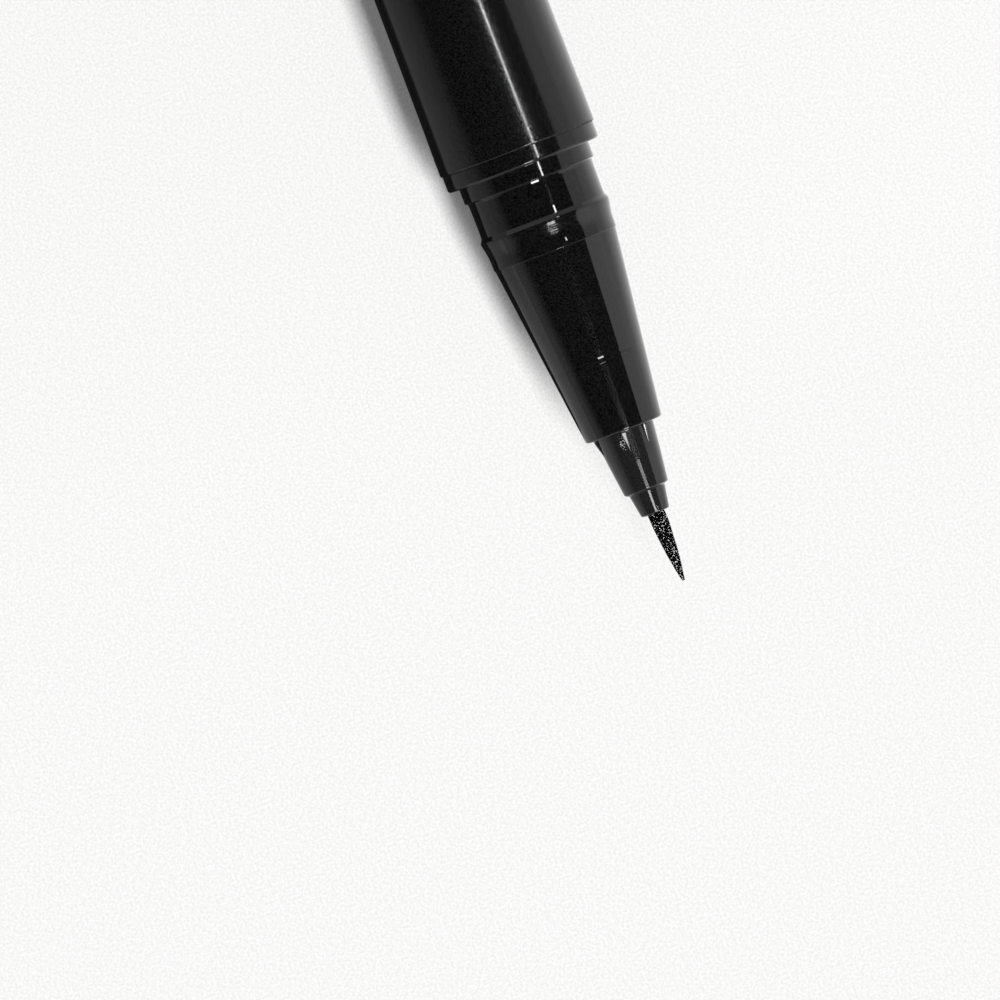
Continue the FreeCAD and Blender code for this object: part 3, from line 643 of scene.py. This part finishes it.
# The front section: shoulder ring, collar, neck, snap bead, land and cone. Places are in front of
# the barrel's edge. The neck sinks a little before the bead, the bead's slope steepens towards the
# land, and the land falls off before its edge, as a polished moulding shrinks.
def make_front_section():
    plug_length = 9.00
    pressed_radius = 4.28
    collector_bore = 3.40
    shoulder_front = 1.13
    shoulder_radius = 5.18
    collar_front = 2.16
    collar_radius = 4.45
    neck_radius = 4.25
    bead_radius = 4.41
    land_radius = 4.215
    land_front = 6.89
    cone_rear_radius = 4.150
    rim = 19.37
    rim_radius = 2.607
    rim_round = 0.16
    face = 19.46
    nozzle_seat = 2.03
    seat_rear = 13.26
    throat_radius = 2.50
    throat_rear = 6.04
    inner_edge_round = 0.02
    cone_slope = (cone_rear_radius - rim_radius) / (rim - land_front)
    seal_line_depth = 0.0069
    faint_line_depth = 0.003
    line_round = 0.3

    def on_cone(along, depth=0.0):
        radius = cone_rear_radius - cone_slope * (along - land_front)
        return (along, radius - depth, line_round)

    # Each corner is its place, its radius and its rounding.
    plug = (
        (-plug_length, collector_bore, inner_edge_round),
        (-plug_length, pressed_radius, 0.05),
        (0.00, pressed_radius, 0.02),
    )
    shoulder_ring = (
        (0.00, shoulder_radius, 0.05),
        (shoulder_front, shoulder_radius, 0.20),
        (shoulder_front, collar_radius, 0.04),
    )
    collar = (
        (collar_front, collar_radius, 0.03),
        (2.24, 4.29, 0.04),
        (2.40, neck_radius, 0.30),
    )
    neck = (
        (4.30, 4.230, 6.0),
        (4.64, neck_radius, 0.06),
    )
    bead = (
        (4.93, bead_radius, 0.04),
        (4.96, bead_radius, 0.03),
        (5.07, 4.3984, 0.30),
        (5.26, 4.3635, 1.0),
    )
    land = (
        (5.956, land_radius, 3.8),
        (6.61, land_radius, 4.0),
        (land_front, 4.210, 0.035),
        (land_front, cone_rear_radius, 0.015),
    )
    # the line that the inner cap's mouth leaves, and a fainter one in front of it
    witness_lines = (
        on_cone(14.353),
        on_cone(14.473, seal_line_depth),
        on_cone(14.673),
        on_cone(14.770),
        on_cone(14.815, faint_line_depth),
        on_cone(14.900),
    )
    cone_front = (
        (rim, rim_radius, rim_round),
        (face, nozzle_seat, inner_edge_round),
    )
    bore = (
        (seat_rear, nozzle_seat, inner_edge_round),
        (seat_rear, throat_radius, inner_edge_round),
        (throat_rear, throat_radius, inner_edge_round),
        (throat_rear, collector_bore, inner_edge_round),
    )
    outside = (*plug, *shoulder_ring, *collar, *neck, *bead, *land, *witness_lines, *cone_front)
    piece = lathe("front_moulding", ahead_of(barrel_edge_mm, (*outside, *bore)))
    # Hazy stretches are (from, to, haze). The rings by the barrel are handled most, and dust keeps
    # to the bead.
    hazy = (
        (0.00, shoulder_front, 0.52),
        (shoulder_front, 2.18, 0.40),
        (4.95, 5.95, 0.47),
    )
    material = polished_abs(
        "polished_abs_front",
        haze=0.0,
        haze_roughness=0.17,
        zones=[(barrel_edge_mm + start, barrel_edge_mm + end, haze) for start, end, haze in hazy],
    )
    fit_out(piece, material, "pen", "front_plastic", "front_section")


def add_wedge(vertices, faces, angle, rear, front):
    """Adds a ridge along the nozzle, whose top is a low arch.

    Each end is (along, radius of its foot, radius of its top, width, rise of the arch).
    """
    first = len(vertices)
    outward = Vector((0, math.sin(angle), math.cos(angle)))
    sideways = Vector((0, math.cos(angle), -math.sin(angle)))
    for along, foot, top, width, rise in (rear, front):
        # The corners of its section are a radius and a place across, as a share of the width.
        section = [(foot, -0.5), (foot, 0.5)]
        section += [(top - rise * (2 * side) ** 2, side) for side in (0.5, 0.25, 0.0, -0.25, -0.5)]
        base = Vector((along, 0, axis_height_mm))
        for radius, side in section:
            vertices.append((base + outward * radius + sideways * side * width) * MM)
    count = len(section)
    faces.append([first + i for i in reversed(range(count))])
    faces.append([first + count + i for i in range(count)])
    for i in range(count):
        after = (i + 1) % count
        faces.append([first + c for c in (after, count + after, count + i, i)])


# The nozzle: a taper with the mouth piece in front. Places are in front of the cone's face.
def make_nozzle():
    shank_length = 6.20
    shank_radius = 1.97
    waist = 1.975
    waist_radius = 1.757
    root_bore = 1.29
    root_stop = -0.82
    brush_bore = 0.60
    inner_edge_round = 0.02
    rib_angles = (41, 161, 281)
    rib_length = 1.20
    rib_height = 0.21
    rib_width = 0.29
    rib_rise = 0.08
    rib_root = 0.25
    rib_end_width = 0.06
    rib_end_rise = 0.01
    mould_line_angle = 10.4
    mould_line_length = 1.88
    mould_line_heights = (0.032, 0.022)
    mould_line_width = 0.17
    mould_line_rise = 0.065
    mould_line_root = 0.1
    # Each corner is its place, its radius and its rounding.
    shank = (
        (-shank_length, root_bore, inner_edge_round),
        (-shank_length, shank_radius, 0.05),
        (0.00, shank_radius, 1.0),
    )
    taper = (
        (waist, waist_radius, 6.0),
        (3.96, 1.505, 0.12),
    )
    mouth_piece = (
        (4.10, 1.22, 0.02),
        (5.61, 0.96, 0.12),
        (5.68, brush_bore, inner_edge_round),
    )
    bore = (
        (root_stop, brush_bore, inner_edge_round),
        (root_stop, root_bore, inner_edge_round),
    )
    material = rubbed_abs("rubbed_abs_nozzle")
    corners = ahead_of(cone_face_mm, (*shank, *taper, *mouth_piece, *bore))
    body = lathe("nozzle_body", corners, sides=120)
    fit_out(body, material, "pen", "nozzle_plastic", "nozzle")

    vertices = []
    faces = []
    slope = (shank_radius - waist_radius) / waist
    rib_end_radius = shank_radius - slope * rib_length
    rib_rear = (
        cone_face_mm,
        shank_radius - rib_root,
        shank_radius + rib_height,
        rib_width,
        rib_rise,
    )
    rib_front = (
        cone_face_mm + rib_length,
        rib_end_radius - rib_root,
        rib_end_radius,
        rib_end_width,
        rib_end_rise,
    )
    for degrees in rib_angles:
        add_wedge(vertices, faces, math.radians(degrees), rib_rear, rib_front)
    # the fine ridge where the halves of the tool meet
    line_ends = []
    for along, height in zip((0.0, mould_line_length), mould_line_heights):
        radius = shank_radius - slope * along
        line_ends.append(
            (
                cone_face_mm + along,
                radius - mould_line_root,
                radius + height,
                mould_line_width,
                mould_line_rise,
            )
        )
    add_wedge(vertices, faces, math.radians(mould_line_angle), *line_ends)
    ribs = mesh_object("nozzle_ribs", vertices, faces)
    fit_out(ribs, material, "pen", "nozzle_plastic")


# The brush: some 150 tapered filaments round the guide pipe, with ink between them, from a disc
# where their roots are fused. It leans a little to one side, as a used brush does.
def make_brush():
    # The bundle is straight in front of the mouth, then tapers to its point in a slight bow.
    bundle_radius = 0.60
    straight = 0.76
    point_radius = 0.10
    bow = 0.07
    # It leans aside a little at the mouth, and more towards its tip.
    mouth_lean = 0.015
    added_lean = 0.115
    lean_power = 0.75
    # The fused root lies this far behind the mouth.
    hidden = 6.50
    root_radius = 1.27
    root_length = 0.80
    root_round = 0.08
    bore_round = 0.02
    # The filaments leave room for the pipe, and close up in front of its end.
    pipe_room = 0.28
    room_closes = 1.5
    filament_count = 150
    filament_sides = 6
    filament_radius = 0.042
    thinnest_radius = 0.014
    blunt_share = 0.6
    end_spread = 0.07
    # Each filament starts inside the root. Its stations are wide apart up to shortly behind the
    # mouth, and close together from there to its end.
    rooted = 0.05
    hidden_to = 0.65
    hidden_steps = 6
    seen_from = 0.4
    seen_steps = 18
    # Each filament waves over a length of its own, inwards by a share and round by an angle.
    wave_lengths = (2.2, 4.0)
    wave_inwards = 0.02
    wave_round = 0.12
    ink_share = 0.84
    ink_rear_gap = 0.1
    ink_front_gap = 0.12
    ink_steps = 24
    ink_sides = 24
    root_front = mouth_mm - hidden
    taper_start = mouth_mm + straight
    taper = tip_mm - taper_start

    def bundle_at(along):
        share = max(0.0, (along - taper_start) / taper)
        straight_line = bundle_radius + (point_radius - bundle_radius) * share
        return straight_line + 4 * bow * share * (1 - share)

    def lean_at(along):
        share = max(0.0, (along - mouth_mm) / (tip_mm - mouth_mm))
        return mouth_lean + added_lean * share**lean_power

    def centre(along, radius, angle):
        return Vector(
            (
                along,
                lean_at(along) + radius * math.sin(angle),
                axis_height_mm + radius * math.cos(angle),
            )
        )

    vertices = []
    faces = []
    for i in range(filament_count):
        share = (i + 0.5) / filament_count
        home = i * GOLDEN_TURN
        wave_length = random.uniform(*wave_lengths)
        phase = random.uniform(0, FULL_TURN)
        end = tip_mm - random.uniform(0.0, end_spread) * share
        stations = evenly(root_front - rooted, mouth_mm - hidden_to, hidden_steps)
        stations += evenly(mouth_mm - seen_from, end, seen_steps)
        centres = []
        radii = []
        for along in stations:
            outer = bundle_at(along)
            thick = max(thinnest_radius, filament_radius * outer / bundle_radius)
            pipe_share = 1.0 - min(1.0, max(0.0, (along - pipe_end_mm) / room_closes))
            inner = pipe_room * pipe_share + thick
            outer_line = outer - thick
            # The filaments share out the area between the two, so that they fill it evenly.
            radius = math.sqrt(inner**2 + (outer_line**2 - inner**2) * share)
            swing = math.sin(FULL_TURN * along / wave_length + phase)
            radius *= 1 - wave_inwards + wave_inwards * swing
            centres.append(centre(along, radius, home + wave_round * swing))
            radii.append(thick)
        radii[-1] *= blunt_share
        strand(vertices, faces, centres, radii, filament_sides)
    # the ink that stands between the filaments
    ink_stations = evenly(pipe_end_mm + ink_rear_gap, tip_mm - ink_front_gap, ink_steps)
    ink_centres = [centre(along, 0, 0) for along in ink_stations]
    ink_radii = [bundle_at(along) * ink_share for along in ink_stations]
    strand(vertices, faces, ink_centres, ink_radii, ink_sides)
    material = inked_pbt("inked_pbt")
    filaments = mesh_object("filaments", vertices, faces)
    filaments.data.shade_smooth()
    fit_out(filaments, material, "pen", "bristles", "brush_tip")

    root = lathe(
        "fused_root",
        (
            (root_front - root_length, pipe_room, bore_round),
            (root_front - root_length, root_radius, root_round),
            (root_front, root_radius, root_round),
            (root_front, pipe_room, bore_round),
        ),
        sides=96,
    )
    fit_out(root, material, "pen", "bristles")


# The spring behind the inner cap: round wire with its end turns closed.
def make_spring(steel):
    wire_radius = 0.15
    turn_radius = 2.50
    turns = 4.5
    # the share of its pitch that the wire loses at both ends
    closing_share = 0.8
    steps = 220
    sides = 10
    low, high = box_mm("inner_cap_spring")
    room = high.x - low.x
    travel = room - 2 * wire_radius
    vertices = []
    faces = []
    for i in range(steps + 1):
        share = i / steps
        angle = FULL_TURN * turns * share
        eased = share - math.sin(FULL_TURN * share) / FULL_TURN * closing_share
        outward = Vector((0, math.sin(angle), math.cos(angle)))
        middle = Vector((low.x + wire_radius + travel * eased, 0, axis_height_mm))
        middle += outward * turn_radius
        for k in range(sides):
            round_wire = FULL_TURN * k / sides
            offset = outward * math.cos(round_wire) + Vector((1, 0, 0)) * math.sin(round_wire)
            vertices.append((middle + offset * wire_radius) * MM)
    for i in range(steps):
        for k in range(sides):
            here = i * sides
            after = (k + 1) % sides
            faces.append((here + k, here + after, here + sides + after, here + sides + k))
    faces.append(list(reversed(range(sides))))
    faces.append([steps * sides + k for k in range(sides)])
    spring = mesh_object("wound_spring", vertices, faces)
    spring.data.shade_smooth()
    fit_out(spring, steel, "cap", "steel", "inner_cap_spring")
    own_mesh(spring)


# Floor, lamps and surroundings

def make_floor():
    """A pale sheet. Polished plastic sees a painted reflection: white on the right, dark on the
    left.

    It is lit from within as well, faintly by the barrel and most by the brush, where the shadow
    has to stay pale.
    """
    half_mm = 2500.0
    white = linear("#ffffff")
    pulp = linear("#f1f1f0")
    pulp_mm = 0.17
    # the noise at which the pulp begins to show, and at which it is full
    pulp_shows = (0.35, 0.65)
    glow_level = 1.0
    # glow by the barrel and by the brush, and where along the pen it changes
    glow_shares = (0.12, 0.88)
    glow_from_mm = (58.0, 68.0)
    # how far from the brush the glow starts to fade, and where it has gone
    glow_fade_mm = (80.0, 400.0)
    # the painted reflection on the right: (place across, level) near the pen and far off
    right_near = (8.0, 1.15)
    right_far = (25.0, 0.80)
    # the painted reflection on the left, by the barrel and by the brush
    left_shares = (0.34, 0.52)
    left_from_mm = (53.5, 61.0)
    # both are a little brighter by the brush
    front_gain = 1.20
    front_from_mm = (57.0, 65.0)
    # how far these changes move towards the brush, as a share of the distance from the pen
    set_back_share = 0.1
    # a dark band painted into the reflection on the left, where no object stands
    dark_band_level = 0.02
    # the dark band's far edge, as (place along the pen, place across), and where the band ends
    dark_band_rear_mm = (48.0, -14.1)
    dark_band_front_mm = (67.0, -5.8)
    dark_band_end_mm = (66.5, 67.5)
    dark_band_soft_mm = 1.2
    side = half_mm * MM
    corners = [(-side, -side, 0), (side, -side, 0), (side, side, 0), (-side, side, 0)]
    floor = mesh_object("floor", corners, [(0, 1, 2, 3)])

    material, tree, shader, place = new_material("pale_floor")
    split = add(tree, "ShaderNodeSeparateXYZ", {0: place})
    along, across = split.outputs["X"], split.outputs["Y"]

    aside = add(tree, "ShaderNodeMath", {0: across}, operation="ABSOLUTE").outputs[0]
    set_back = add(
        tree, "ShaderNodeMath", {0: aside, 1: set_back_share}, operation="MULTIPLY"
    ).outputs[0]
    skewed = add(
        tree, "ShaderNodeMath", {0: along, 1: set_back}, operation="SUBTRACT"
    ).outputs[0]

    def along_the_pen(places_mm, levels):
        """A level that goes evenly from one to the other between two places along the pen.

        Far from the pen the places lie further towards the brush.
        """
        return add(
            tree,
            "ShaderNodeMapRange",
            {
                "Value": skewed,
                "From Min": places_mm[0] * MM,
                "From Max": places_mm[1] * MM,
                "To Min": levels[0],
                "To Max": levels[1],
            },
        ).outputs[0]

    right_level = add(
        tree,
        "ShaderNodeMapRange",
        {
            "Value": across,
            "From Min": right_near[0] * MM,
            "From Max": right_far[0] * MM,
            "To Min": right_near[1],
            "To Max": right_far[1],
        },
    ).outputs[0]
    on_right = add(
        tree, "ShaderNodeMath", {0: across, 1: 0.0}, operation="GREATER_THAN"
    ).outputs[0]
    far_edge = add(
        tree,
        "ShaderNodeMapRange",
        {
            "Value": along,
            "From Min": dark_band_rear_mm[0] * MM,
            "From Max": dark_band_front_mm[0] * MM,
            "To Min": dark_band_rear_mm[1] * MM,
            "To Max": dark_band_front_mm[1] * MM,
        },
    ).outputs[0]
    past_far_edge = add(
        tree, "ShaderNodeMath", {0: far_edge, 1: across}, operation="SUBTRACT"
    ).outputs[0]
    beyond = add(
        tree,
        "ShaderNodeMapRange",
        {"Value": past_far_edge, "From Min": 0.0, "From Max": dark_band_soft_mm * MM},
        interpolation_type="SMOOTHSTEP",
    ).outputs[0]
    in_front = add(
        tree,
        "ShaderNodeMapRange",
        {"Value": along, "From Min": dark_band_end_mm[0] * MM, "From Max": dark_band_end_mm[1] * MM},
    ).outputs[0]
    past_dark_band = add(
        tree, "ShaderNodeMath", {0: beyond, 1: in_front}, operation="MAXIMUM"
    ).outputs[0]
    left = along_the_pen(left_from_mm, left_shares)
    left_level = add(
        tree, "ShaderNodeMix", {0: past_dark_band, 2: dark_band_level, 3: left}
    ).outputs[0]
    level = add(
        tree, "ShaderNodeMix", {0: on_right, 2: left_level, 3: right_level}
    ).outputs[0]
    gain = along_the_pen(front_from_mm, (1.0, front_gain))
    level = add(tree, "ShaderNodeMath", {0: level, 1: gain}, operation="MULTIPLY").outputs[0]
    # the painted reflection: a glow of the floor that only polished surfaces see
    painted_reflection = add(tree, "ShaderNodeEmission", {"Strength": level}).outputs[0]
    pulp_noise = add(
        tree, "ShaderNodeTexNoise", {"Vector": place, "Scale": per_mm(pulp_mm), "Detail": 2.0}
    ).outputs["Fac"]
    fibres = add(
        tree,
        "ShaderNodeMapRange",
        {"Value": pulp_noise, "From Min": pulp_shows[0], "From Max": pulp_shows[1]},
    ).outputs[0]
    sheet = add(
        tree, "ShaderNodeMix", {0: fibres, 6: white, 7: pulp}, data_type="RGBA"
    ).outputs[2]
    paper = add(tree, "ShaderNodeBsdfDiffuse", {"Color": sheet}).outputs[0]
    path = add(tree, "ShaderNodeLightPath")
    glow = add(tree, "ShaderNodeEmission", {"Color": sheet, "Strength": glow_level}).outputs[0]
    from_brush = add(
        tree, "ShaderNodeVectorMath", {0: place, 1: (tip_mm * MM, 0, 0)}, operation="DISTANCE"
    ).outputs["Value"]
    fade = add(
        tree,
        "ShaderNodeMapRange",
        {
            "Value": from_brush,
            "From Min": glow_fade_mm[0] * MM,
            "From Max": glow_fade_mm[1] * MM,
            "To Min": 1.0,
            "To Max": 0.0,
        },
    ).outputs[0]
    near_share = along_the_pen(glow_from_mm, glow_shares)
    glow_share = add(
        tree, "ShaderNodeMath", {0: near_share, 1: fade}, operation="MULTIPLY"
    ).outputs[0]
    glow_seen = add(
        tree,
        "ShaderNodeMath",
        {0: path.outputs["Is Camera Ray"], 1: glow_share},
        operation="MULTIPLY",
    ).outputs[0]
    lit = add(tree, "ShaderNodeMixShader", {0: glow_seen, 1: paper, 2: glow}).outputs[0]
    seen = add(
        tree, "ShaderNodeMixShader", {0: path.outputs["Is Glossy Ray"], 1: lit, 2: painted_reflection}
    ).outputs[0]
    tree.links.new(seen, tree.nodes["Material Output"].inputs["Surface"])
    tree.nodes.remove(shader)
    floor.data.materials.append(material)


def make_surroundings():
    """Reflections see a white wall on the right, a dim one on the left, pale ones at the ends and
    a dark ceiling. The side walls get brighter towards the brush. Matt surfaces get a faint even
    light from all round."""
    fill = 0.12
    wall_right = 0.81
    wall_left = 0.35
    wall_gain = 1.6
    wall_end = 0.70
    ceiling = 0.012
    backdrop = linear("#f8f8f7")
    # Heights are sines of the angle above the floor.
    right_top = math.sin(math.radians(30.5))
    right_top_soft = 0.006
    left_fades = (0.12, 0.56)
    end_top = math.sin(math.radians(50))
    end_top_soft = 0.05
    # Places round the pen are shares of the direction across it or along it.
    sides_meet = (-0.1, 0.1)
    gain_ahead = (0.05, 0.25)
    ends_from = (0.45, 0.65)
    world = bpy.data.worlds.new("studio")
    world.use_nodes = True
    bpy.context.scene.world = world
    tree = world.node_tree
    direction = add(tree, "ShaderNodeTexCoord").outputs["Generated"]
    split = add(tree, "ShaderNodeSeparateXYZ", {0: direction})
    ahead, across, up = split.outputs["X"], split.outputs["Y"], split.outputs["Z"]
    right = add(
        tree,
        "ShaderNodeMapRange",
        {
            "Value": up,
            "From Min": right_top - right_top_soft,
            "From Max": right_top + right_top_soft,
            "To Min": wall_right,
            "To Max": ceiling,
        },
        interpolation_type="SMOOTHSTEP",
    ).outputs[0]
    left = add(
        tree,
        "ShaderNodeMapRange",
        {
            "Value": up,
            "From Min": left_fades[0],
            "From Max": left_fades[1],
            "To Min": wall_left,
            "To Max": ceiling,
        },
        interpolation_type="SMOOTHSTEP",
    ).outputs[0]
    to_right = add(
        tree,
        "ShaderNodeMapRange",
        {"Value": across, "From Min": sides_meet[0], "From Max": sides_meet[1]},
        interpolation_type="SMOOTHSTEP",
    ).outputs[0]
    sides = add(tree, "ShaderNodeMix", {0: to_right, 2: left, 3: right}).outputs[0]
    gain = add(
        tree,
        "ShaderNodeMapRange",
        {
            "Value": ahead,
            "From Min": gain_ahead[0],
            "From Max": gain_ahead[1],
            "To Min": 1.0,
            "To Max": wall_gain,
        },
    ).outputs[0]
    sides = add(tree, "ShaderNodeMath", {0: sides, 1: gain}, operation="MULTIPLY").outputs[0]
    end = add(
        tree,
        "ShaderNodeMapRange",
        {
            "Value": up,
            "From Min": end_top - end_top_soft,
            "From Max": end_top + end_top_soft,
            "To Min": wall_end,
            "To Max": ceiling,
        },
        interpolation_type="SMOOTHSTEP",
    ).outputs[0]
    along = add(tree, "ShaderNodeMath", {0: ahead}, operation="ABSOLUTE").outputs[0]
    to_end = add(
        tree,
        "ShaderNodeMapRange",
        {"Value": along, "From Min": ends_from[0], "From Max": ends_from[1]},
        interpolation_type="SMOOTHSTEP",
    ).outputs[0]
    level = add(tree, "ShaderNodeMix", {0: to_end, 2: sides, 3: end}).outputs[0]
    path = add(tree, "ShaderNodeLightPath")
    strength = add(
        tree, "ShaderNodeMix", {0: path.outputs["Is Glossy Ray"], 2: fill, 3: level}
    ).outputs[0]
    shown = add(
        tree,
        "ShaderNodeMath",
        {0: path.outputs["Is Camera Ray"], 1: path.outputs["Is Transmission Ray"]},
        operation="MAXIMUM",
    ).outputs[0]
    walls = add(tree, "ShaderNodeBackground", {"Strength": strength}).outputs[0]
    pale = add(tree, "ShaderNodeBackground", {"Color": backdrop}).outputs[0]
    seen = add(tree, "ShaderNodeMixShader", {0: shown, 1: walls, 2: pale}).outputs[0]
    tree.links.new(seen, tree.nodes["World Output"].inputs["Surface"])


def add_lamp(name, place_mm, aim_mm, size_mm, radiance, mirrored):
    """A flat lamp at a place, turned to an aim. Its size is along the pen, then across.

    A mirrored lamp only shows in polished surfaces. The other kind only lights the matt colour.
    """
    data = bpy.data.lights.new(name, "AREA")
    data.shape = "RECTANGLE"
    data.size = size_mm[0] * MM
    data.size_y = size_mm[1] * MM
    data.energy = radiance * math.pi * data.size * data.size_y
    lamp = bpy.data.objects.new(name, data)
    away = (Vector(place_mm) - Vector(aim_mm)).normalized()
    # Local Z points away from the aim, and local X stays as near to the pen's axis as it can.
    across = away.cross(Vector((1, 0, 0))).normalized()
    along = across.cross(away)
    turn = Matrix((along, away.cross(along), away)).transposed().to_4x4()
    lamp.matrix_world = Matrix.Translation(Vector(place_mm) * MM) @ turn
    lamp.visible_camera = False
    lamp.visible_diffuse = not mirrored
    lamp.visible_glossy = mirrored
    bpy.context.scene.collection.objects.link(lamp)
    return lamp


def make_lamps():
    strip_height_mm = axis_height_mm + 1000.0
    # A soft lamp in front of the brush and to the right, whose shadow falls to the left.
    add_lamp(
        "soft",
        place_mm=(1340.0, 452.0, axis_height_mm + 2000.0),
        aim_mm=(60.0, 0, axis_height_mm),
        size_mm=(1800.0, 448.0),
        radiance=27.6,
        mirrored=False,
    )
    # Lamps that only polished plastic shows, each over the surface that it draws a line on.
    strips = (
        # name, from and to along the pen, middle across, width across, radiance
        ("tube", -1050.0, 73.2, 437.0, 50.0, 28.0),
        ("nozzle_strip", 358.0, 370.0, 150.0, 260.0, 14.0),
        ("bead_strip", 447.0, 460.0, 155.0, 250.0, 18.0),
        ("mouth_strip", 460.0, 476.0, 155.0, 250.0, 15.0),
        ("edge_glint", 560.0, 900.0, 150.0, 260.0, 26.0),
    )
    for name, start, end, across, width, radiance in strips:
        middle = (start + end) / 2
        add_lamp(
            name,
            place_mm=(middle, across, strip_height_mm),
            aim_mm=(middle, across, 0),
            size_mm=(end - start, width),
            radiance=radiance,
            mirrored=True,
        )


steel = drawn_steel("drawn_steel")
finish_nodes(steel)
make_front_section()
make_nozzle()
make_brush()
make_spring(steel)
make_camera()
make_floor()
make_surroundings()
make_lamps()

scene = bpy.context.scene
scene.view_settings.view_transform = "Standard"
